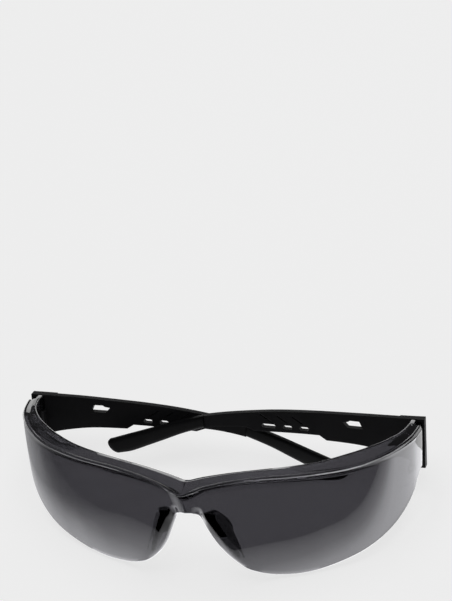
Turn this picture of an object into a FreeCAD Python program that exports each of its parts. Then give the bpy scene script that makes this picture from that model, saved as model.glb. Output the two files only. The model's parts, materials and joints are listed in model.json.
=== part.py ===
import FreeCAD, Part
import math
import os

# Wraparound safety glasses, temples folded, resting on a flat surface.
# Everything is first built level: +X to the wearer's left, -Y forward, +Z up, with the origin
# midway between the two upper hinge corners.  The whole object is then leaned back to its
# resting attitude and moved so the origin is at the centre of the bottom of its box.
# All lengths are millimetres.

# ---- overall ----
HINGE_CORNER_X = 72.5      # half the width over the two temple roots
LEAN_DEG = 29.6            # how far the front tips back when the folded glasses lie on a table

# ---- lens shield ----
LENS_T = 2.2               # wall of the lens
BROW_WALL = 2.3            # thickness of the brow ledge
TUCK_SLOPE = 0.05          # inward lean of the lens face just under the brow
TUCK_CURVE = 0.0036        # growth of that lean with depth below the brow
TUCK_FROM = -5.0           # height where the inward lean begins
SIDE_TUCK = 0.25           # share of the inward lean kept on the side wings
SKIRT_Z = -58.0            # the untrimmed wall runs down to here

# brow line of one half: front lip (x, y, z), ledge depth, height of the ledge's rear edge,
# and how far the lens face sits behind the lip (negative where it bulges past the lip)
BROW = [
    (0.0, -51.5, -11.0, 8.2, -9.0, 1.0),
    (8.0, -49.6, -8.2, 7.4, -7.6, 1.0),
    (17.0, -47.0, -6.6, 6.6, -6.2, 1.0),
    (27.0, -44.1, -5.7, 6.1, -5.3, 1.0),
    (37.0, -41.1, -5.4, 5.9, -4.5, 1.0),
    (46.0, -37.5, -5.1, 5.6, -3.6, 0.9),
    (54.0, -33.1, -4.7, 5.5, -2.4, 0.8),
    (61.1, -27.2, -3.9, 5.5, -1.7, 0.4),
    (66.8, -20.3, -2.9, 5.2, -1.2, 0.1),
    (70.6, -12.8, -2.0, 4.8, -0.9, -0.2),
    (72.5, -5.6, -1.4, 4.5, -0.7, -0.4),
    (72.8, -1.0, -1.2, 4.5, -0.6, -0.4),
]

# lower rim of one half in the front view, from the nose arch out to the hinge end
RIM = [
    (0.0, -19.8),
    (2.4, -20.1),
    (4.5, -21.3),
    (5.6, -23.6),
    (8.0, -29.4),
    (10.0, -33.4),
    (12.0, -36.6),
    (14.0, -39.3),
    (17.0, -42.4),
    (20.0, -44.6),
    (25.0, -46.5),
    (30.0, -47.0),
    (36.0, -46.7),
    (43.0, -45.1),
    (50.0, -42.5),
    (57.0, -39.1),
    (63.0, -34.7),
    (67.5, -29.4),
    (70.6, -23.2),
    (72.2, -16.6),
    (80.0, -15.6),
]

# ---- nose flanges and pads ----
FLANGE_T = 1.8
FLANGE_FLARE_DEG = 36.0    # flanges open outward toward the face
FLANGE_LEVELS = [          # height, distance of the nose edge from the middle, flange reach
    (-19.0, 5.4, 6.6),
    (-21.4, 5.0, 8.0),
    (-25.0, 6.2, 9.0),
    (-29.0, 7.9, 9.0),
    (-34.0, 10.4, 7.4),
    (-39.0, 13.9, 4.4),
]
SADDLE_Y0 = -48.2
SADDLE_Y1 = -44.6
PAD_T = 2.4                # soft pad thickness over the flange
PAD_TOP_Z = -19.4
PAD_LOW_Z = -31.0
PAD_INSET = 2.6            # pad starts this far back from the lens edge
PAD_OVERHANG = 1.2         # pad reaches this far past the rear edge of the flange

# ---- hinges ----
HINGE_X = 69.75
HINGE_Y = -0.25
PIN_R = 0.80
LUG_BORE_R = 0.81
KNUCKLE_BORE_R = 0.86
LUG_R = 1.75
KNUCKLE_R = 2.0
KNUCKLE_Z = (-12.4, -6.6)
UPPER_LUG_Z = (-6.4, -2.2)
LOWER_LUG_Z = (-15.4, -12.6)
LUG_NOTCH_R = 2.0
PIN_Z = (-15.4, -4.0)
PIN_HEAD_R = 1.35
PIN_HEAD_H = 0.8
LENS_END_Y = -3.75         # lens stops here so the temple root can swing past

# ---- temples ----
ROOT_T = 3.0               # thickness at the root plate
ARM_T = 2.4                # thickness of the arm
ROOT_L = 9.0
ARM_BOW = [(0.0, 0.0), (19.0, 1.2), (38.0, 1.7), (57.0, 1.7), (76.0, 1.5), (95.0, 1.1), (120.0, -1.8)]
ARM_TOP = [(0.0, -0.8), (15.0, -1.4), (33.0, -2.1), (44.0, -2.6), (55.0, -3.4), (64.0, -4.5), (72.0, -5.7),
           (79.6, -7.2)]
ARM_END_LOW = (79.6, -11.7)
EAR_TOP = [(79.6, -7.2), (88.0, -9.8), (95.0, -12.2), (102.0, -14.6), (109.5, -17.0), (114.6, -18.8)]
EAR_TIP = [(114.6, -18.8), (115.9, -20.4), (115.0, -21.8)]
EAR_LOW = [(111.8, -23.5), (110.2, -23.6), (107.5, -22.8), (101.0, -20.3), (95.0, -17.8), (88.0, -14.7),
           ARM_END_LOW]
ROOT_LOW_Z = -19.0
STEP_ONE_X = 36.4          # first rise of the lower edge
STEP_TWO_X = 62.8          # second rise of the lower edge
WINDOW = [(22.0, -6.85), (23.2, -4.05), (26.5, -4.0), (27.3, -4.5), (29.3, -4.8), (27.4, -6.85)]
SLOTS = [(42.3, 44.1), (48.3, 50.1), (54.3, 57.8)]
SLOT_Z = -8.9
SLOT_H = 1.6
GROOVES = [(47.8, 44.0), (53.4, 49.6), (59.4, 55.6)]
GROOVE_TOP_Z = -4.5
GROOVE_DROP = 2.6
GROOVE_W = 0.7
GROOVE_DEPTH = 0.5

# ---- soft ear grips ----
GRIP_START = 80.0
GRIP_T = 3.0
TONGUE_END = 105.0
TONGUE_T = 1.2
TONGUE_INSET = 1.7

# opening angle already present at each hinge in the folded rest pose
REST_LEFT_DEG = -1.0
REST_RIGHT_DEG = 1.9

# rise of each arm per unit length past its root plate, from lying folded across the other one
RISE_LEFT = 0.03
RISE_RIGHT = -0.03

UP = FreeCAD.Vector(0, 0, 1)


def vec(x, y, z):
    return FreeCAD.Vector(x, y, z)


def smooth(points):
    """Smooth curve through the given points as an edge."""
    curve = Part.BSplineCurve()
    curve.interpolate(points)
    return curve.toShape()


def line(a, b):
    return Part.makeLine(a, b)


def box(x0, x1, y0, y1, z0, z1):
    return Part.makeBox(x1 - x0, y1 - y0, z1 - z0, vec(x0, y0, z0))


def rod(x, y, z0, z1, radius):
    return Part.makeCylinder(radius, z1 - z0, vec(x, y, z0), UP)


def along(table, x):
    """Straight-line reading of y from an (x, y) table."""
    for (xa, ya), (xb, yb) in zip(table[:-1], table[1:]):
        if x <= xb:
            return ya + (yb - ya) * (x - xa) / (xb - xa)
    return table[-1][1]


def front_prism(edges, y0, y1):
    """Prism with an outline in the front view, running from y0 to y1."""
    face = Part.Face(Part.Wire(Part.__sortEdges__(edges)))
    face.translate(vec(0, y0, 0))
    return face.extrude(vec(0, y1 - y0, 0))


def mirrored(shape):
    return shape.mirror(vec(0, 0, 0), vec(1, 0, 0))


def tuck(z):
    drop = max(0.0, TUCK_FROM - z)
    return TUCK_SLOPE * drop + TUCK_CURVE * drop * drop


def brow_normal(index):
    """Outward direction of the brow line in plan; square to the mirror plane in the middle."""
    if index == 0:
        return 0.0, -1.0
    before = BROW[index - 1]
    after = BROW[min(index + 1, len(BROW) - 1)]
    dx = after[0] - before[0]
    dy = after[1] - before[1]
    size = math.hypot(dx, dy)
    return dy / size, -dx / size


def shield_section(index):
    """Closed outline across the brow ledge and lens wall at one station of the brow line."""
    x, y, lip_z, depth, rear_z, setback = BROW[index]
    nx, ny = brow_normal(index)

    def ledge(inward, z):
        return vec(x - nx * inward, y - ny * inward, z)

    def wall(inward, z):
        return ledge(inward + tuck(z) * math.hypot(SIDE_TUCK * nx, ny), z)

    rise = rear_z - lip_z
    face_top = lip_z - 1.5
    back_top = lip_z - BROW_WALL - 0.6
    face_levels = [face_top + (SKIRT_Z - face_top) * k / 6.0 for k in range(7)]
    back_levels = [SKIRT_Z + (back_top - SKIRT_Z) * k / 6.0 for k in range(7)]
    face = [wall(setback, z) for z in face_levels]
    back = [wall(setback + LENS_T, z) for z in back_levels]
    rear_low = ledge(depth, rear_z - BROW_WALL)
    rear_top = ledge(depth, rear_z)
    crest = ledge(0.5 * depth, lip_z + 0.66 * rise + 0.35)
    lip = ledge(0.25, lip_z + 0.12)
    edges = [
        smooth(face),
        line(face[-1], back[0]),
        smooth(back),
        line(back[-1], rear_low),
        line(rear_low, rear_top),
        line(rear_top, crest),
        line(crest, lip),
        line(lip, face[0]),
    ]
    return Part.Wire(edges)


def shield_half():
    """One lens with its share of the brow, trimmed to the rim outline."""
    sections = [shield_section(i) for i in range(len(BROW))]
    wall = Part.makeLoft(sections, True, False)
    rim = [vec(x, 0, z) for x, z in RIM]
    nose_edge = smooth(rim[3:])
    arch_edge = smooth(rim[:4])
    top_left = vec(0, 0, 10)
    top_right = vec(80, 0, 10)
    outline = [arch_edge, nose_edge, line(rim[-1], top_right), line(top_right, top_left),
               line(top_left, rim[0])]
    return wall.common(front_prism(outline, -70, 20))


def lens_edge_y(x, z):
    """Front face of the lens near the nose, at distance x from the middle and height z."""
    plan = [(station[0], station[1]) for station in BROW]
    return along(plan, x) + BROW[0][5] + tuck(z)


def flange_frame(level):
    """Start point and directions of the nose flange at one height."""
    z, x, reach = level
    flare = math.radians(FLANGE_FLARE_DEG)
    start = vec(x, lens_edge_y(x, z) + 0.5, z)
    back = vec(math.sin(flare), math.cos(flare), 0)
    outward = vec(math.cos(flare), -math.sin(flare), 0)
    return start, back, outward, reach


def loft_quads(quads):
    wires = [Part.makePolygon(q + [q[0]]) for q in quads]
    return Part.makeLoft(wires, True, False)


def nose_flange():
    """Wing turned back from the nose edge of the lens, opening outward toward the face."""
    quads = []
    for level in FLANGE_LEVELS:
        start, back, outward, reach = flange_frame(level)
        far = start + back * reach
        quads.append([start, far, far + outward * FLANGE_T, start + outward * FLANGE_T])
    return loft_quads(quads)


def bridge_saddle():
    """Arch that joins the two nose flanges behind the bridge (right half)."""
    inner = [vec(0, 0, -19.8), vec(2.4, 0, -20.1), vec(4.5, 0, -21.3), vec(5.7, 0, -24.0)]
    outer = [vec(0, 0, -17.8), vec(3.2, 0, -18.2), vec(6.1, 0, -20.0), vec(7.7, 0, -23.6)]
    edges = [smooth(inner), line(inner[-1], outer[-1]), smooth(outer), line(outer[0], inner[0])]
    return front_prism(edges, SADDLE_Y0, SADDLE_Y1)


def hinge_lugs():
    """Two eyes at the end of the lens with arms running back into the wall."""
    lugs = None
    for z0, z1 in (UPPER_LUG_Z, LOWER_LUG_Z):
        eye = rod(HINGE_X, HINGE_Y, z0, z1, LUG_R)
        arm = box(HINGE_X - 1.9, HINGE_X - 0.1, -9.5, HINGE_Y, z0, z1)
        piece = eye.fuse(arm)
        lugs = piece if lugs is None else lugs.fuse(piece)
    return lugs


def swing_clearance():
    """Space the temple root needs at the end of the lens."""
    sweep = rod(HINGE_X, HINGE_Y, -40, 10, 4.5)
    outer = box(HINGE_X + 0.05, 90, -10, 20, -40, 10)
    behind = box(40, 90, HINGE_Y - 0.1, 20, -40, 10)
    end = box(HINGE_X + 0.05, 90, LENS_END_Y, 20, -40, 10)
    return sweep.common(outer).fuse(behind).fuse(end)


def lens_shield():
    """One moulding: two lenses, brow ledge, bridge, nose flanges and hinge eyes."""
    half = shield_half().cut(swing_clearance())
    half = half.fuse(nose_flange())
    half = half.fuse(bridge_saddle())
    half = half.fuse(hinge_lugs())
    half = half.cut(rod(HINGE_X, HINGE_Y, LOWER_LUG_Z[0] - 1, PIN_Z[1], LUG_BORE_R))
    half = half.cut(rod(HINGE_X, HINGE_Y, KNUCKLE_Z[0] - 0.2, KNUCKLE_Z[1] + 0.2, KNUCKLE_R + 0.25))
    whole = half.fuse(mirrored(half))
    return whole.removeSplitter()


def nose_pad(shield):
    """Soft pad lying on the nose side of the flange and lapping its rear edge."""
    quads = []
    for level in FLANGE_LEVELS:
        start, back, outward, reach = flange_frame(level)
        near = start + back * PAD_INSET
        far = start + back * (reach + PAD_OVERHANG)
        quads.append([near - outward * PAD_T, far - outward * PAD_T, far + outward * 1.2,
                      near + outward * 1.2])
    block = loft_quads(quads)
    block = block.common(box(0, 40, -60, 0, PAD_LOW_Z, PAD_TOP_Z))
    return block.cut(shield)


def hinge_pin():
    """Screw through the two eyes, with a slotted head under the lower one."""
    shank = rod(HINGE_X, HINGE_Y, PIN_Z[0], PIN_Z[1] - 0.1, PIN_R)
    head = rod(HINGE_X, HINGE_Y, PIN_Z[0] - PIN_HEAD_H, PIN_Z[0], PIN_HEAD_R)
    slot = box(HINGE_X - 2, HINGE_X + 2, HINGE_Y - 0.2, HINGE_Y + 0.2,
               PIN_Z[0] - PIN_HEAD_H - 1, PIN_Z[0] - PIN_HEAD_H + 0.35)
    return shank.fuse(head).cut(slot).removeSplitter()


def at(s, y, z, rise=0.0):
    """Point at distance s along the folded temple from its root corner."""
    return vec(HINGE_CORNER_X - s, y, z + rise * max(0.0, s - ROOT_L))


def arm_band(offset, thickness, s0, s1):
    """Curved upright band following the bow of the temple between two distances."""
    count = 8
    stations = [s0 + (s1 - s0) * k / count for k in range(count + 1)]
    near = [at(s, along(ARM_BOW, s) + offset, -40) for s in stations]
    far = [at(s, along(ARM_BOW, s) + offset + thickness, -40) for s in reversed(stations)]
    edges = [smooth(near), line(near[-1], far[0]), smooth(far), line(far[-1], near[0])]
    return Part.Face(Part.Wire(edges)).extrude(vec(0, 0, 60))


def side_points(pairs, rise):
    return [at(s, 0, z, rise) for s, z in pairs]


def arm_outline(rise):
    """Side view of the hard temple, with its two stepped rises in the lower edge."""
    top = side_points(ARM_TOP, rise)
    second = side_points([ARM_END_LOW, (71.0, -10.3), (STEP_TWO_X + 1.7, -9.9)], rise)
    first = side_points([(STEP_TWO_X - 1.6, -11.2), (50.0, -10.8), (STEP_ONE_X + 1.3, -10.7)], rise)
    root = side_points([(STEP_ONE_X - 1.2, -12.4), (23.0, -12.9), (11.0, -14.7), (4.4, -16.8),
                        (1.8, ROOT_LOW_Z)], rise)
    end_low = second[0]
    heel = at(0, 0, ROOT_LOW_Z)
    return [smooth(top), line(top[-1], end_low), smooth(second), line(second[-1], first[0]),
            smooth(first), line(first[-1], root[0]), smooth(root), line(root[-1], heel),
            line(heel, top[0])]


def ear_outline(rise):
    """Side view of the drooping ear end, with a rounded tip cut on the slant below."""
    top = side_points(EAR_TOP, rise)
    tip = side_points(EAR_TIP, rise)
    low = side_points(EAR_LOW, rise)
    nose = Part.Arc(tip[0], tip[1], tip[2]).toShape()
    return [smooth(top), nose, line(tip[2], low[0]), smooth(low), line(low[-1], top[0])]


def inset_ear_outline(rise):
    """Side view of the hard tongue buried in the ear grip."""
    top = side_points([(s, z - TONGUE_INSET) for s, z in EAR_TOP[:4]], rise)
    low = side_points([(s, z + TONGUE_INSET) for s, z in EAR_LOW[3:]], rise)
    return [smooth(top), line(top[-1], low[0]), smooth(low), line(low[-1], top[0])]


def tongue(grow, rise):
    """Hard core of the ear end, optionally grown to make its pocket."""
    band = arm_band(0.6 - grow, TONGUE_T + 2 * grow, 79.0, TONGUE_END + grow)
    return band.common(front_prism(inset_ear_outline(rise), -20, 20))


def small_slot(s0, s1, rise):
    """Round-ended slot through the temple near its lower edge."""
    half = SLOT_H / 2
    low0, low1 = side_points([(s0, SLOT_Z - half), (s1, SLOT_Z - half)], rise)
    top0, top1 = side_points([(s0, SLOT_Z + half), (s1, SLOT_Z + half)], rise)
    left = Part.Arc(low1, at(s1 + half, 0, SLOT_Z, rise), top1).toShape()
    right = Part.Arc(top0, at(s0 - half, 0, SLOT_Z, rise), low0).toShape()
    return front_prism([line(low0, low1), left, line(top1, top0), right], -20, 20)


def groove(s_top, s_low, rise):
    """Shallow slanting groove in the inner face of the temple."""
    a = at(s_top, 0, GROOVE_TOP_Z, rise)
    b = at(s_low, 0, GROOVE_TOP_Z - GROOVE_DROP, rise)
    shift = vec(GROOVE_W, 0, 0)
    edges = [line(a, b), line(b, b + shift), line(b + shift, a + shift), line(a + shift, a)]
    y = along(ARM_BOW, s_top)
    return front_prism(edges, y - 5, y + GROOVE_DEPTH)


def window(rise):
    """Slanted window through the temple, with a small step down to its tail."""
    points = side_points(WINDOW, rise)
    edges = [line(a, b) for a, b in zip(points, points[1:] + points[:1])]
    return front_prism(edges, -20, 20)


def temple(rise):
    """Hard temple: root plate with knuckle, windowed arm and the tongue inside the grip."""
    band = arm_band(0.0, ARM_T, 0.0, 79.6)
    root = arm_band(0.0, ROOT_T, 0.0, ROOT_L)
    arm = band.fuse(root).common(front_prism(arm_outline(rise), -20, 20))
    arm = arm.fuse(tongue(0.0, rise))
    arm = arm.cut(window(rise))
    for s0, s1 in SLOTS:
        arm = arm.cut(small_slot(s0, s1, rise))
    for s_top, s_low in GROOVES:
        arm = arm.cut(groove(s_top, s_low, rise))
    arm = arm.fuse(rod(HINGE_X, HINGE_Y, KNUCKLE_Z[0], KNUCKLE_Z[1], KNUCKLE_R))
    arm = arm.cut(rod(HINGE_X, HINGE_Y, KNUCKLE_Z[0] - 0.5, KNUCKLE_Z[1] + 0.5, KNUCKLE_BORE_R))
    arm = arm.cut(rod(HINGE_X, HINGE_Y, LOWER_LUG_Z[0] - 1.2, KNUCKLE_Z[0], LUG_NOTCH_R))
    arm = arm.cut(rod(HINGE_X, HINGE_Y, KNUCKLE_Z[1], UPPER_LUG_Z[1] + 0.3, LUG_NOTCH_R))
    return arm.removeSplitter()


def ear_grip(rise):
    """Soft sleeve over the ear end of the temple."""
    band = arm_band(-0.3, GRIP_T, GRIP_START, 119.0)
    grip = band.common(front_prism(ear_outline(rise), -20, 20))
    return grip.cut(tongue(0.02, rise))


def folded(shape, opening_deg):
    """Turn a left-side temple piece about its hinge to its resting angle."""
    turned = shape.copy()
    turned.rotate(vec(HINGE_X, HINGE_Y, 0), UP, -opening_deg)
    return turned


def leaned(shape):
    turned = shape.copy()
    turned.rotate(vec(0, 0, 0), vec(1, 0, 0), -LEAN_DEG)
    return turned


def build():
    shield = lens_shield()
    pad = nose_pad(shield)
    pin = hinge_pin()
    pieces = {
        "lens_shield": shield,
        "nose_pad_left": pad,
        "nose_pad_right": mirrored(pad),
        "hinge_screw_left": pin,
        "hinge_screw_right": mirrored(pin),
        "temple_left": folded(temple(RISE_LEFT), REST_LEFT_DEG),
        "temple_right": mirrored(folded(temple(RISE_RIGHT), REST_RIGHT_DEG)),
        "ear_grip_left": folded(ear_grip(RISE_LEFT), REST_LEFT_DEG),
        "ear_grip_right": mirrored(folded(ear_grip(RISE_RIGHT), REST_RIGHT_DEG)),
    }
    return {name: leaned(shape) for name, shape in pieces.items()}


def seated(pieces):
    """Move the pieces so the origin is at the centre of the bottom of their common box."""
    bounds = Part.makeCompound(list(pieces.values())).optimalBoundingBox(False)
    shift = vec(-(bounds.XMin + bounds.XMax) / 2, -(bounds.YMin + bounds.YMax) / 2, -bounds.ZMin)
    for shape in pieces.values():
        shape.translate(shift)
    print("shift", shift)
    return pieces


def main():
    os.makedirs("parts", exist_ok=True)
    pieces = seated(build())
    for name, shape in pieces.items():
        solid = shape.Solids[0]
        print(name, "solids", len(shape.Solids), "valid", shape.isValid(), "volume", round(shape.Volume, 1))
        solid.exportStep("parts/" + name + ".step")


main()
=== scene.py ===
import bmesh
import bpy
import json
import math
from mathutils import Matrix, Vector

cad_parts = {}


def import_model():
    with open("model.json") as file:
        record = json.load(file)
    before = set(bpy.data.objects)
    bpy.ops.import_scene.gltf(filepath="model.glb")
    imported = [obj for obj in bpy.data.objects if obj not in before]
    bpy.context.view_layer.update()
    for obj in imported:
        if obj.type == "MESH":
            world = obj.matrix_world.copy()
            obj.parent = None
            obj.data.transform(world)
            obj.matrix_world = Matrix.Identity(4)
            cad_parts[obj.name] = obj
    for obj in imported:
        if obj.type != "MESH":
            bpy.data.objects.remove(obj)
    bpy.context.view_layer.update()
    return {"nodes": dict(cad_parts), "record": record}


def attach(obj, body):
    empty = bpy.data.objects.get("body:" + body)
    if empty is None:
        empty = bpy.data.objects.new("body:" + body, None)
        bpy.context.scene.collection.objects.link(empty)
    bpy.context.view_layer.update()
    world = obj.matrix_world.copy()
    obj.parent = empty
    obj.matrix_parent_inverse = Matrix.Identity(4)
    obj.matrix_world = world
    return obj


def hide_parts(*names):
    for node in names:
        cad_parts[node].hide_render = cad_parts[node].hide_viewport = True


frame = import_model()

# ---------------------------------------------------------------- level frame
# The glasses are described level, in millimetres: brow horizontal, +X to the wearer's left,
# -Y forward.  On the floor they lie leaned back, which the left hinge of the record tells.
HINGE = Vector((69.75, -0.25, -9.5))
joint = next(j for j in frame["record"]["behaviour"]["joints"] if j["name"] == "left_hinge")
LEAN = math.atan2(-joint["axis"][1], -joint["axis"][2])
TILT = Matrix.Rotation(-LEAN, 4, "X")
TO_WORLD = Matrix.Translation(Vector(joint["pos_m"]) - TILT @ (HINGE * 0.001)) @ TILT


def world(point):
    """Level-frame point in millimetres, as a point of the scene in metres."""
    return TO_WORLD @ (point * 0.001)


# ---------------------------------------------------------------- materials
def material(name):
    mat = bpy.data.materials.new(name)
    mat.use_nodes = True
    return mat, mat.node_tree.nodes, mat.node_tree.links, mat.node_tree.nodes["Principled BSDF"]


def noise(nodes, links, scale, detail=3.0):
    """Noise fixed to the object's own coordinates."""
    coord = nodes.new("ShaderNodeTexCoord")
    tex = nodes.new("ShaderNodeTexNoise")
    tex.inputs["Scale"].default_value = scale
    tex.inputs["Detail"].default_value = detail
    links.new(coord.outputs["Object"], tex.inputs["Vector"])
    return tex.outputs["Fac"]


def ramp(nodes, links, source, low, high, a, b):
    """Value that runs from a to b while the source runs from low to high."""
    node = nodes.new("ShaderNodeMapRange")
    node.inputs["From Min"].default_value = low
    node.inputs["From Max"].default_value = high
    node.inputs["To Min"].default_value = a
    node.inputs["To Max"].default_value = b
    links.new(source, node.inputs["Value"])
    return node.outputs["Result"]


def blend(nodes, links, factor, first, second):
    """Colour between two others."""
    node = nodes.new("ShaderNodeMix")
    node.data_type = "RGBA"
    node.inputs["A"].default_value = first + (1,)
    node.inputs["B"].default_value = second + (1,)
    links.new(factor, node.inputs["Factor"])
    return node.outputs["Result"]


def grain(nodes, links, bsdf, source, strength, distance):
    """Fine surface texture."""
    bump = nodes.new("ShaderNodeBump")
    bump.inputs["Strength"].default_value = strength
    bump.inputs["Distance"].default_value = distance
    links.new(source, bump.inputs["Height"])
    links.new(bump.outputs["Normal"], bsdf.inputs["Normal"])
    return bump


def math_node(nodes, links, operation, a, b=None):
    node = nodes.new("ShaderNodeMath")
    node.operation = operation
    links.new(a, node.inputs[0])
    if b is not None:
        links.new(b, node.inputs[1])
    return node.outputs[0]


def nose_edge_mask(nodes, links):
    """One on the cut edges round the nose, where light passes a long way through the tint."""
    coord = nodes.new("ShaderNodeTexCoord")
    place = nodes.new("ShaderNodeSeparateXYZ")
    links.new(coord.outputs["Object"], place.inputs[0])
    facing = nodes.new("ShaderNodeSeparateXYZ")
    links.new(coord.outputs["Normal"], facing.inputs[0])
    down = nodes.new("ShaderNodeVectorMath")
    down.operation = "DOT_PRODUCT"
    down.inputs[1].default_value = (0.0, -math.sin(LEAN), -math.cos(LEAN))
    links.new(coord.outputs["Normal"], down.inputs[0])
    turned = math_node(nodes, links, "ABSOLUTE", facing.outputs["X"])
    sideways = ramp(nodes, links, turned, 0.6, 0.76, 0.0, 1.0)
    below = ramp(nodes, links, down.outputs["Value"], 0.66, 0.82, 0.0, 1.0)
    off_middle = math_node(nodes, links, "ABSOLUTE", place.outputs["X"])
    near = ramp(nodes, links, off_middle, 0.015, 0.018, 1.0, 0.0)
    cut = math_node(nodes, links, "MAXIMUM", sideways, below)
    return math_node(nodes, links, "MULTIPLY", cut, near)


def tinted_lens():
    mat, nodes, links, bsdf = material("smoke_lens")
    edge = nose_edge_mask(nodes, links)
    tint = blend(nodes, links, edge, (0.062, 0.0605, 0.069), (0.006, 0.006, 0.007))
    links.new(tint, bsdf.inputs["Base Color"])
    bsdf.inputs["Transmission Weight"].default_value = 1.0
    bsdf.inputs["IOR"].default_value = 1.58
    links.new(ramp(nodes, links, edge, 0.0, 1.0, 1.0, 0.0), bsdf.inputs["Coat Weight"])
    links.new(ramp(nodes, links, edge, 0.0, 1.0, 0.5, 0.1), bsdf.inputs["Specular IOR Level"])
    bsdf.inputs["Coat IOR"].default_value = 1.75
    bsdf.inputs["Coat Roughness"].default_value = 0.01
    rough = ramp(nodes, links, noise(nodes, links, 900.0), 0.35, 0.75, 0.0, 0.02)
    links.new(rough, bsdf.inputs["Roughness"])
    return mat


def black_plastic():
    mat, nodes, links, bsdf = material("black_satin_plastic")
    fine = noise(nodes, links, 2600.0, 6.0)
    broad = noise(nodes, links, 90.0, 2.0)
    tone = blend(nodes, links, broad, (0.0075, 0.0074, 0.008), (0.013, 0.0128, 0.0138))
    links.new(tone, bsdf.inputs["Base Color"])
    links.new(ramp(nodes, links, broad, 0.3, 0.7, 0.42, 0.54), bsdf.inputs["Roughness"])
    bsdf.inputs["Specular IOR Level"].default_value = 0.09
    eased = nodes.new("ShaderNodeBevel")
    eased.samples = 6
    eased.inputs["Radius"].default_value = 0.0004
    bump = grain(nodes, links, bsdf, fine, 0.12, 0.00004)
    links.new(eased.outputs["Normal"], bump.inputs["Normal"])
    return mat


def soft_rubber(name):
    mat, nodes, links, bsdf = material(name)
    fine = noise(nodes, links, 3400.0, 4.0)
    broad = noise(nodes, links, 160.0, 2.0)
    tone = blend(nodes, links, broad, (0.004, 0.004, 0.0042), (0.008, 0.008, 0.0085))
    links.new(tone, bsdf.inputs["Base Color"])
    links.new(ramp(nodes, links, broad, 0.3, 0.7, 0.5, 0.62), bsdf.inputs["Roughness"])
    bsdf.inputs["Specular IOR Level"].default_value = 0.13
    grain(nodes, links, bsdf, fine, 0.15, 0.00005)
    return mat


def dark_steel():
    mat, nodes, links, bsdf = material("blackened_steel")
    fine = noise(nodes, links, 1800.0, 4.0)
    bsdf.inputs["Base Color"].default_value = (0.09, 0.09, 0.095, 1)
    bsdf.inputs["Metallic"].default_value = 1.0
    links.new(ramp(nodes, links, fine, 0.3, 0.7, 0.3, 0.45), bsdf.inputs["Roughness"])
    grain(nodes, links, bsdf, fine, 0.1, 0.00003)
    return mat


LENS = tinted_lens()
PLASTIC = black_plastic()
PAD = soft_rubber("soft_nose_rubber")
GRIP = soft_rubber("soft_ear_rubber")
STEEL = dark_steel()


def dress(node, mat):
    """Put a material on a piece that is carried over from the CAD."""
    obj = frame["nodes"][node]
    obj.data.materials.clear()
    obj.data.materials.append(mat)
    for poly in obj.data.polygons:
        poly.material_index = 0


for side in ("left", "right"):
    dress("temple_" + side, PLASTIC)
    dress("hinge_screw_" + side, STEEL)


# ---------------------------------------------------------------- mesh helpers
def reading(table, t):
    """Smooth reading of a table of rows (t, value, value, ...)."""
    k = 0
    while k < len(table) - 2 and t > table[k + 1][0]:
        k += 1
    here, after = table[k], table[k + 1]
    before = table[k - 1] if k > 0 else here
    beyond = table[k + 2] if k + 2 < len(table) else after
    span = after[0] - here[0]
    f = (t - here[0]) / span
    out = []
    for i in range(1, len(here)):
        m0 = (after[i] - before[i]) / (after[0] - before[0]) * span
        m1 = (beyond[i] - here[i]) / (beyond[0] - here[0]) * span
        rise = after[i] - here[i]
        out.append(here[i] + f * m0 + f * f * (3 * rise - 2 * m0 - m1) + f ** 3 * (m0 + m1 - 2 * rise))
    return out


def rounded(a0, a1, b0, b1, radius, steps=4):
    """Rectangle outline with rounded corners, counter-clockwise."""
    r = min(radius, 0.49 * (a1 - a0), 0.49 * (b1 - b0))
    centres = [(a1 - r, b0 + r, -90), (a1 - r, b1 - r, 0), (a0 + r, b1 - r, 90), (a0 + r, b0 + r, 180)]
    out = []
    for ca, cb, start in centres:
        for k in range(steps + 1):
            turn = math.radians(start + 90 * k / steps)
            out.append((ca + r * math.cos(turn), cb + r * math.sin(turn)))
    return out


def skin(name, rings, mat, crease=38):
    """Closed surface through rings of equal length, with capped ends."""
    size = len(rings[0])
    verts = [world(point) for ring in rings for point in ring]
    faces = [tuple(range(size))[::-1], tuple(range(len(verts) - size, len(verts)))]
    for r in range(len(rings) - 1):
        for k in range(size):
            n = (k + 1) % size
            faces.append((r * size + k, r * size + n, (r + 1) * size + n, (r + 1) * size + k))
    mesh = bpy.data.meshes.new(name)
    mesh.from_pydata([tuple(v) for v in verts], [], faces)
    mesh.validate()
    finished(mesh, mat, crease)
    obj = bpy.data.objects.new(name, mesh)
    bpy.context.collection.objects.link(obj)
    return obj


def finished(mesh, mat, crease):
    work = bmesh.new()
    work.from_mesh(mesh)
    bmesh.ops.recalc_face_normals(work, faces=work.faces)
    work.to_mesh(mesh)
    work.free()
    mesh.materials.clear()
    mesh.materials.append(mat)
    mesh.polygons.foreach_set("use_smooth", [True] * len(mesh.polygons))
    mesh.set_sharp_from_angle(angle=math.radians(crease))


def joined(name, base, others, mat, crease):
    """One solid out of several overlapping ones."""
    for other in others:
        union = base.modifiers.new("join", "BOOLEAN")
        union.operation = "UNION"
        union.solver = "EXACT"
        union.object = other
    bpy.context.view_layer.update()
    mesh = bpy.data.meshes.new_from_object(base.evaluated_get(bpy.context.evaluated_depsgraph_get()))
    mesh.name = name
    for old in [base] + others:
        bpy.data.objects.remove(old)
    finished(mesh, mat, crease)
    obj = bpy.data.objects.new(name, mesh)
    bpy.context.collection.objects.link(obj)
    return obj


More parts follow.
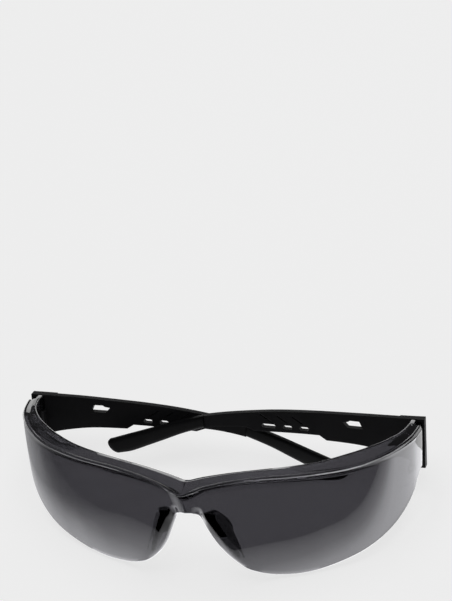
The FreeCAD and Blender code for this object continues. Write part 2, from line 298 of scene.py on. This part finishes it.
# ---------------------------------------------------------------- lens shield
LENS_T = 2.2               # thickness of the lens wall
BROW_WALL = 2.3            # thickness of the brow ledge
LENS_END_Y = -3.75         # the wall stops here so the temple root can swing past
SIDE_TUCK = 0.25           # share of the inward lean kept on the side wings
WALL_STEPS = 24            # points down each side of the wall
FINE_STEP = 0.45           # spacing of the sections near the nose
FINE_COUNT = 36
COARSE_STEP = 1.3          # and beyond it
BRIDGE_LEAN = 0.27         # extra inward slope of the face at the bridge
BRIDGE_REACH = 6.4         # distance along the brow where half of it is left
BRIDGE_FADE = 0.8

# brow line of one half: front lip (x, y, z), ledge depth, height of the ledge's rear edge,
# and how far the lens face sits behind the lip (negative where it stands outside the lip)
BROW = [
    (0.0, -51.4, -10.7, 8.2, -8.9, 0.5),
    (3.5, -50.75, -9.8, 7.9, -8.6, 0.6),
    (8.0, -49.6, -8.2, 7.4, -7.6, 1.0),
    (17.0, -47.0, -6.6, 6.6, -6.2, 1.0),
    (27.0, -44.1, -5.7, 6.1, -5.3, 1.0),
    (37.0, -41.1, -5.4, 5.9, -4.5, 1.0),
    (46.0, -37.5, -5.1, 5.6, -3.6, 0.9),
    (54.0, -33.1, -4.7, 5.5, -2.4, 0.8),
    (61.1, -27.2, -3.9, 5.5, -1.7, 0.4),
    (66.8, -20.3, -2.9, 5.2, -1.2, 0.1),
    (70.6, -12.8, -2.0, 4.8, -0.9, -0.2),
    (72.0, -5.6, -1.4, 4.3, -0.7, -0.3),
    (72.1, -1.0, -1.2, 4.2, -0.6, -0.3),
]

# lower rim in the front view (x, z), from the top of the nose arch to past the hinge end
RIM = [(-2.4, -20.3), (0.0, -20.0), (2.4, -20.3), (4.3, -21.6), (5.4, -23.8), (7.8, -29.4), (9.6, -33.4),
       (11.4, -36.6), (13.3, -39.3), (16.4, -42.4), (19.6, -44.6), (25.0, -46.5), (30.0, -47.0),
       (36.0, -46.7), (43.0, -45.1), (50.0, -42.5), (57.0, -39.1), (63.0, -34.7), (67.5, -29.4),
       (70.6, -23.2), (72.2, -16.6), (80.0, -15.6)]


def brow_table():
    """The brow rows with the distance along the brow put first, and one row past the middle."""
    rows = []
    t = 0.0
    for k, row in enumerate(BROW):
        if k:
            t += math.hypot(row[0] - BROW[k - 1][0], row[1] - BROW[k - 1][1])
        rows.append((t,) + row)
    ghost = (-rows[1][0], -rows[1][1]) + rows[1][2:]
    return [ghost] + rows


BROW_T = brow_table()


def tuck(z):
    """Inward lean of the lens face below the brow."""
    drop = max(0.0, -5.0 - z)
    return 0.05 * drop + 0.0036 * drop * drop


def plan_normal(t):
    """Outward direction of the brow line in plan, softened over the bridge."""
    reach = 0.05 + 6.0 * math.exp(-(t / 7.0) ** 2)
    ahead = reading(BROW_T, t + reach)
    behind = reading(BROW_T, t - reach)
    dx, dy = ahead[0] - behind[0], ahead[1] - behind[1]
    size = math.hypot(dx, dy)
    return dy / size, -dx / size


# side edge of the nose notch as (z, x), and the width of the band beside it that turns back
NOSE_EDGE = [(z, x) for x, z in RIM[10:3:-1]]
NOSE_EDGE_TOP_Z = -21.6    # the edge is carried on a little past its last row, up to this height
BAND = [(-44.6, 0.0), (-41.0, 2.2), (-36.0, 3.2), (-24.0, 3.3), (-20.0, 2.8)]
BAND_TOP_Z = -17.0
BAND_SLOPE = 0.55
BAND_MOST = 3.4            # the turn stops growing at this distance from the crease
CREASE_ROUND = 0.06


def nose_turn(x, z):
    """How far the wall turns back beside the nose, from a crease that follows the nose edge."""
    if z < BAND[0][0] or z > BAND_TOP_Z:
        return 0.0
    edge_x = reading(NOSE_EDGE, min(z, NOSE_EDGE_TOP_Z))[0]
    crease_x = edge_x + reading(BAND, min(z, BAND[-1][0]))[0]
    gap = min(BAND_MOST, max(0.0, crease_x - abs(x)))
    high_share = min(1.0, (BAND_TOP_Z - z) / 4.0)
    side_share = min(1.0, max(0.0, (abs(x) - 2.5) / 2.5))
    turn = math.sqrt(gap ** 2 + CREASE_ROUND) - math.sqrt(CREASE_ROUND)
    return high_share * side_share * BAND_SLOPE * turn


def rim_height(x, nx, back, lean):
    """Height of the rim where the leaning wall of one section meets it."""
    z = -20.0
    for _ in range(12):
        z = 0.5 * z + 0.5 * reading(RIM, x - nx * (back + lean(z)))[0]
    return z


def lens_outline(t):
    """Section across the brow ledge and the lens wall, at distance t along the brow."""
    x, y, lip, depth, rear, back = reading(BROW_T, t)
    nx, ny = plan_normal(t)
    share = math.hypot(SIDE_TUCK * nx, ny)
    bridge = BRIDGE_LEAN / (1.0 + math.exp((abs(t) - BRIDGE_REACH) / BRIDGE_FADE))

    def lean(z):
        return tuck(z) * share + bridge * min(9.0, max(0.0, lip - 1.0 - z))

    # the crest stands above the ledge's rear edge near the nose and below it on the side wings
    outer = min(1.0, max(0.0, (abs(t) - 26.0) / 14.0))
    crest = (1 - outer) * (rear + 0.4) + outer * (lip + 0.7 * (rear - lip) + 0.1)
    half = 0.62 * depth
    rim = rim_height(x, nx, back, lean)
    face_top = lip - 1.6
    inner_top = lip - BROW_WALL - 1.5
    under = lip - BROW_WALL
    wall = back + LENS_T
    corner = wall + lean(inner_top)
    foot = back + lean(rim)

    out = []   # points as (distance inward, height)
    # lens face, from the rim up
    for k in range(WALL_STEPS + 1):
        z = rim + 0.5 + (face_top - rim - 0.5) * k / WALL_STEPS
        out.append((back + lean(z), z))
    # rolled lip with a fine bead behind it
    out += [(back - 0.12, lip - 1.25), (0.62 * back, lip - 1.02), (0.2 * back, lip - 0.86), (0.0, lip - 0.6),
            (0.02, lip - 0.36), (0.14, lip - 0.14), (0.36, lip), (0.62, lip + 0.02), (0.86, lip - 0.06),
            (1.06, lip - 0.08), (1.3, lip + 0.04)]
    # slope up to the crest, and on to the rear edge
    out += [(1.3 + (half - 1.75) * k / 3, lip + 0.04 + (crest - lip - 0.24) * k / 3) for k in (1, 2, 3)]
    out += [(half - 0.2, crest - 0.09), (half + 0.05, crest - 0.02), (half + 0.35, crest + 0.02)]
    out += [(half + 0.35 + (depth - half - 0.85) * k / 3, crest + 0.02 + (rear - crest - 0.04) * k / 3)
            for k in (1, 2, 3)]
    out += [(depth - 0.26, rear - 0.06), (depth - 0.09, rear - 0.2), (depth, rear - 0.42),
            (depth, rear - BROW_WALL + 0.4), (depth - 0.12, rear - BROW_WALL + 0.12),
            (depth - 0.4, rear - BROW_WALL)]
    # underside of the ledge, rounded into the inner face
    out += [(corner + 1.1, under - 0.15), (corner + 0.62, under - 0.3), (corner + 0.26, under - 0.6),
            (corner + 0.06, under - 1.0)]
    # inner face, down to the rim
    for k in range(WALL_STEPS + 1):
        z = inner_top + (rim + 0.5 - inner_top) * k / WALL_STEPS
        out.append((wall + lean(z), z))
    # rounded rim
    out += [(foot + LENS_T - 0.22, rim + 0.16), (foot + LENS_T - 0.6, rim + 0.02), (foot + 0.6, rim + 0.02),
            (foot + 0.22, rim + 0.16)]
    points = [Vector((x - nx * u, y - ny * u, z)) for u, z in out]
    for p in points:
        p.y += nose_turn(p.x, p.z)
    return points


def lens_rings():
    """Sections from one hinge end to the other."""
    stations = [FINE_STEP * k for k in range(FINE_COUNT)]
    while reading(BROW_T, stations[-1] + COARSE_STEP)[1] < LENS_END_Y:
        stations.append(stations[-1] + COARSE_STEP)
    last = stations[-1]
    while reading(BROW_T, last)[1] < LENS_END_Y:
        last += 0.02
    stations.append(last)
    half = [lens_outline(t) for t in stations]
    other = [[Vector((-p.x, p.y, p.z)) for p in ring] for ring in half[:0:-1]]
    return other + half


FLARE = math.radians(36)   # the flanges open outward toward the face
FLANGE_T = 1.8
FLANGE_START = 2.6         # the flange begins inside the turned-back wall
FLANGE_LOW_Z = -38.6
FLANGE_TOP_Z = -20.0
FLANGE_STEPS = 36
# reach of the flange and distance of its nose edge from the middle, by height
FLANGE = [(-42.5, 1.6), (-39.0, 4.4), (-34.0, 7.4), (-29.0, 9.0), (-25.0, 9.0), (-21.4, 8.0), (-18.6, 6.2)]
NOSE_X = [(-42.4, 17.0), (-39.3, 14.0), (-36.6, 12.0), (-33.4, 10.0), (-29.4, 8.0), (-25.0, 6.3),
          (-21.4, 5.0), (-18.6, 5.4)]


def flange_frame(z):
    """Start point, backward and outward directions and reach of the nose flange at a height."""
    x = reading(NOSE_X, z)[0]
    y = reading([(row[0], row[1]) for row in BROW], x)[0] + 1.0 + tuck(z)
    back = Vector((math.sin(FLARE), math.cos(FLARE), 0))
    outward = Vector((math.cos(FLARE), -math.sin(FLARE), 0))
    return Vector((x, y + 0.45, z)), back, outward, reading(FLANGE, z)[0]


def flange_rings(side):
    rings = []
    for k in range(FLANGE_STEPS + 1):
        z = FLANGE_LOW_Z + (FLANGE_TOP_Z - FLANGE_LOW_Z) * k / FLANGE_STEPS
        start, back, outward, reach = flange_frame(z)
        ring = [start + back * a + outward * b
                for a, b in rounded(FLANGE_START, reach, 0.0, FLANGE_T, 0.7)]
        rings.append([Vector((side * p.x, p.y, p.z)) for p in ring])
    return rings


BROW_END_X = 68.78         # middle of the ledge end
BROW_END_Z = -1.9


def brow_end_rings(side):
    """Inner corner of the brow ledge, carried back to the hinge beside the temple root."""
    rings = []
    for y, ease in ((-5.2, 1.0), (-0.8, 1.0), (-0.55, 0.94), (-0.45, 0.8)):
        rings.append([Vector((side * (BROW_END_X + a * ease), y, BROW_END_Z + b * ease))
                      for a, b in rounded(-0.825, 0.815, -1.15, 1.15, 0.4)])
    return rings


LUG_LEVELS = ((-6.4, -2.2), (-15.4, -12.6))   # lower and upper face of the two eyes
EYE_X = 69.68
EYE_R = 1.73
LUG_EASE = 0.25            # how far from each flat face the edges begin to be eased


def lug_rings(side, z0, z1):
    """Hinge eye with its arm: a rounded plate running back into the wall, edges eased."""
    inner_x, outer_x, arm_y = 67.95, 69.55, -12.0
    outline = [(inner_x, arm_y), (inner_x, HINGE.y)]
    for k in range(1, 19):
        turn = math.pi * (1 - 1.5 * k / 18)
        outline.append((EYE_X + EYE_R * math.cos(turn), HINGE.y + EYE_R * math.sin(turn)))
    outline += [(outer_x, -2.4), (outer_x, arm_y)]
    rings = []
    for z, ease in ((z0, LUG_EASE), (z0 + LUG_EASE, 0.0), (z1 - LUG_EASE, 0.0), (z1, LUG_EASE)):
        ring = [Vector((side * (x + (69.0 - x) * 0.5 * ease), y - (0.12 if y > -1 else 0) * ease, z))
                for x, y in outline]
        rings.append(ring)
    return rings


def lens_shield():
    """Lens, brow, flanges and hinge eyes as one moulding."""
    base = skin("wall", lens_rings(), LENS)
    others = [skin("flange", flange_rings(side), LENS) for side in (1, -1)]
    others += [skin("lug", lug_rings(side, z0, z1), LENS) for side in (1, -1) for z0, z1 in LUG_LEVELS]
    others += [skin("brow_end", brow_end_rings(side), LENS) for side in (1, -1)]
    shield = joined("lens_and_brow", base, others, LENS, 32)
    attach(shield, "front")
    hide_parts("lens_shield")


lens_shield()


# ---------------------------------------------------------------- nose pads
PAD_Z = -24.6              # middle height of the pad
PAD_HALF_HEIGHT = 5.2
PAD_START = 1.8            # the pad begins this far back along the flange
PAD_OVERHANG = 1.3         # and laps this far past its rear edge
PAD_STEPS = 32


def nose_pad(name, side):
    """Soft pad on the nose side of a flange, lapping its rear edge and tapering at both ends."""
    rings = []
    for k in range(PAD_STEPS + 1):
        f = -1 + 2 * (0.02 + 0.96 * k / PAD_STEPS)
        swell = math.sqrt(1 - abs(f) ** 2.6)
        start, back, outward, reach = flange_frame(PAD_Z + PAD_HALF_HEIGHT * f)
        end = reach + PAD_OVERHANG
        mid = 0.5 * (PAD_START + end)
        half = 0.5 * (end - PAD_START) * (0.3 + 0.7 * swell)
        ring = [start + back * a + outward * b
                for a, b in rounded(mid - half, mid + half, -2.2 * swell - 0.1, 0.2 + 1.2 * swell, 1.1, 6)]
        rings.append([Vector((side * p.x, p.y, p.z)) for p in ring])
    pad = skin(name + "_soft", rings, PAD, 60)
    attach(pad, "front")
    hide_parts(name)


nose_pad("nose_pad_left", 1)
nose_pad("nose_pad_right", -1)


# ---------------------------------------------------------------- ear grips
CORNER_X = 72.5            # outer corner of the temple root
ROOT_L = 9.0               # the arm's rise begins past the root plate
ARM_MIDDLE = 1.2           # middle of the arm's thickness, behind the bow line
GRIP_HALF_T = 1.48         # half the thickness of the sleeve
TIP_REACH = 2.5            # how far the dome carries on past the last row
SLEEVE_STEPS = 50
DOME_STEPS = 10

# bow of the arm by distance from its root, and the upper and lower edge of the ear end as
# (row number, distance from the root, height)
BOW = [(0.0, 0.0), (19.0, 1.2), (38.0, 1.7), (57.0, 1.7), (76.0, 1.5), (95.0, 1.1), (120.0, -1.8)]
EAR_TOP = [(0, 79.9, -7.3), (1, 88.0, -9.8), (2, 95.0, -12.2), (3, 102.0, -14.6), (4, 109.5, -17.0),
           (5, 114.4, -18.6)]
EAR_LOW = [(0, 79.9, -11.7), (1, 88.0, -14.7), (2, 95.0, -17.8), (3, 101.0, -20.3), (4, 107.0, -22.7),
           (5, 111.9, -23.7)]


def ear_grip(name, side, opening, rise):
    """Soft sleeve over the ear end: full in the middle, rounded edges and a domed tip."""
    turn = Matrix.Translation(HINGE) @ Matrix.Rotation(-math.radians(opening), 4, "Z")
    turn = turn @ Matrix.Translation(-HINGE)
    tip_way = Vector((0.93, 0, -0.05))
    rings = []
    for k in range(SLEEVE_STEPS + DOME_STEPS + 1):
        t = min(5.0, 5.0 * k / SLEEVE_STEPS)
        dome = max(0, k - SLEEVE_STEPS) / (DOME_STEPS + 0.4)
        top_out, top_z = reading(EAR_TOP, t)
        low_out, low_z = reading(EAR_LOW, t)
        top = Vector((top_out, 0, top_z))
        low = Vector((low_out, 0, low_z))
        shrink = math.sqrt(1 - dome * dome)
        middle = (top + low) / 2 + tip_way * (TIP_REACH * dome)
        up = (top - low) / 2 * shrink
        ring = []
        for a, b in rounded(-1, 1, -1, 1, 0.5, 5):
            p = middle + up * a
            y = reading(BOW, p.x)[0] + ARM_MIDDLE + GRIP_HALF_T * (0.35 + 0.65 * shrink) * b
            q = turn @ Vector((CORNER_X - p.x, y, p.z + rise * (p.x - ROOT_L)))
            ring.append(Vector((side * q.x, q.y, q.z)))
        rings.append(ring)
    grip = skin(name + "_soft", rings, GRIP, 60)
    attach(grip, "left_temple" if side > 0 else "right_temple")
    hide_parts(name)


# side, opening angle at rest and rise of the arm
ear_grip("ear_grip_left", 1, -1.0, 0.03)
ear_grip("ear_grip_right", -1, 1.9, -0.03)


# ---------------------------------------------------------------- floor and reflection card
def flat(name, outline, z):
    """Level sheet that belongs to the staging."""
    mesh = bpy.data.meshes.new(name)
    mesh.from_pydata([(x, y, z) for x, y in outline], [], [tuple(range(len(outline)))])
    obj = bpy.data.objects.new(name, mesh)
    bpy.context.collection.objects.link(obj)
    return obj


def floor():
    obj = flat("floor", [(-0.9, -0.9), (0.9, -0.9), (0.9, 0.9), (-0.9, 0.9)], 0)
    mat, _, _, bsdf = material("pale_floor")
    bsdf.inputs["Base Color"].default_value = (0.3, 0.3, 0.3, 1)
    bsdf.inputs["Roughness"].default_value = 0.9
    bsdf.inputs["Specular IOR Level"].default_value = 0.0
    bsdf.inputs["Emission Color"].default_value = (1, 1, 1, 1)
    bsdf.inputs["Emission Strength"].default_value = 0.725
    obj.data.materials.append(mat)


def reflection_card():
    """Card in front that only reflections see: bright close to the lens, fading out to black."""
    obj = flat("reflection_card", [(-0.5, -0.9), (0.5, -0.9), (0.5, 0.03), (-0.5, 0.03)], 0.0006)
    mat, nodes, links, bsdf = material("graded_card")
    coord = nodes.new("ShaderNodeTexCoord")
    split = nodes.new("ShaderNodeSeparateXYZ")
    links.new(coord.outputs["Object"], split.inputs["Vector"])
    right_lag = ramp(nodes, links, split.outputs["X"], 0.06, 0.26, 0.0, 0.05)
    left_lag = ramp(nodes, links, split.outputs["X"], -0.26, -0.06, 0.1, 0.0)
    lag = math_node(nodes, links, "ADD", right_lag, left_lag)
    depth = math_node(nodes, links, "SUBTRACT", split.outputs["Y"], lag)
    place = ramp(nodes, links, depth, -0.0585, -0.0185, 0.0, 1.0)
    shade = nodes.new("ShaderNodeValToRGB")
    stops = [(0.0, 0.0), (0.004, 0.075), (0.21, 0.17), (0.51, 0.31), (0.66, 0.475), (0.81, 0.7), (1.0, 0.86)]
    bar = shade.color_ramp.elements
    bar[0].position, bar[1].position = stops[0][0], stops[-1][0]
    for spot, _ in stops[1:-1]:
        bar.new(spot)
    for stop, (spot, tone) in zip(bar, stops):
        stop.color = (tone, tone, tone * 1.03, 1)
    links.new(place, shade.inputs["Fac"])
    links.new(shade.outputs["Color"], bsdf.inputs["Emission Color"])
    strength = ramp(nodes, links, split.outputs["X"], -0.085, -0.03, 0.4, 1.95)
    links.new(strength, bsdf.inputs["Emission Strength"])
    bsdf.inputs["Base Color"].default_value = (0.0, 0.0, 0.0, 1)
    bsdf.inputs["Specular IOR Level"].default_value = 0.0
    obj.data.materials.append(mat)
    obj.visible_camera = False
    obj.visible_diffuse = False
    obj.visible_transmission = False
    obj.visible_shadow = False


floor()
reflection_card()


# ---------------------------------------------------------------- light
def softbox(name, place, aim, size, power):
    """Area light that the glossy lens doesn't mirror."""
    light = bpy.data.lights.new(name, "AREA")
    light.shape = "RECTANGLE"
    light.size = size[0]
    light.size_y = size[1]
    light.energy = power
    obj = bpy.data.objects.new(name, light)
    obj.location = place
    obj.rotation_euler = (Vector(aim) - Vector(place)).to_track_quat("-Z", "Y").to_euler()
    obj.visible_glossy = False
    bpy.context.collection.objects.link(obj)


softbox("overhead", (0.0, 0.25, 1.1), (0, 0, 0), (1.0, 0.8), 5.5)

studio = bpy.data.worlds.new("studio")
studio.use_nodes = True
studio.node_tree.nodes["Background"].inputs["Color"].default_value = (0.05, 0.05, 0.052, 1)
studio.node_tree.nodes["Background"].inputs["Strength"].default_value = 1.0
bpy.context.scene.world = studio
bpy.context.scene.view_settings.view_transform = "Standard"


# ---------------------------------------------------------------- camera
# Seen from the wearer's left and above, measured in the level frame of the glasses.
AZIMUTH = math.radians(17.86)
ELEVATION = math.radians(20.19)
ROLL = math.radians(-3.45)
DISTANCE = 0.7276
ASIDE = (-0.0014, -0.0367)   # where the level origin sits right of and above the view centre


def camera():
    back = Vector((math.sin(AZIMUTH) * math.cos(ELEVATION), -math.cos(AZIMUTH) * math.cos(ELEVATION),
                   math.sin(ELEVATION)))
    right = Vector((math.cos(AZIMUTH), math.sin(AZIMUTH), 0))
    up = back.cross(right)
    turned_right = right * math.cos(ROLL) + up * math.sin(ROLL)
    turned_up = up * math.cos(ROLL) - right * math.sin(ROLL)
    place = back * DISTANCE - turned_right * ASIDE[0] - turned_up * ASIDE[1]
    level = Matrix((turned_right, turned_up, back)).transposed().to_4x4()
    level.translation = place
    data = bpy.data.cameras.new("view")
    data.lens = 123.5
    data.sensor_width = 36.0
    data.clip_start = 0.05
    data.clip_end = 20
    obj = bpy.data.objects.new("view", data)
    obj.matrix_world = TO_WORLD @ level
    bpy.context.collection.objects.link(obj)
    bpy.context.scene.camera = obj


camera()
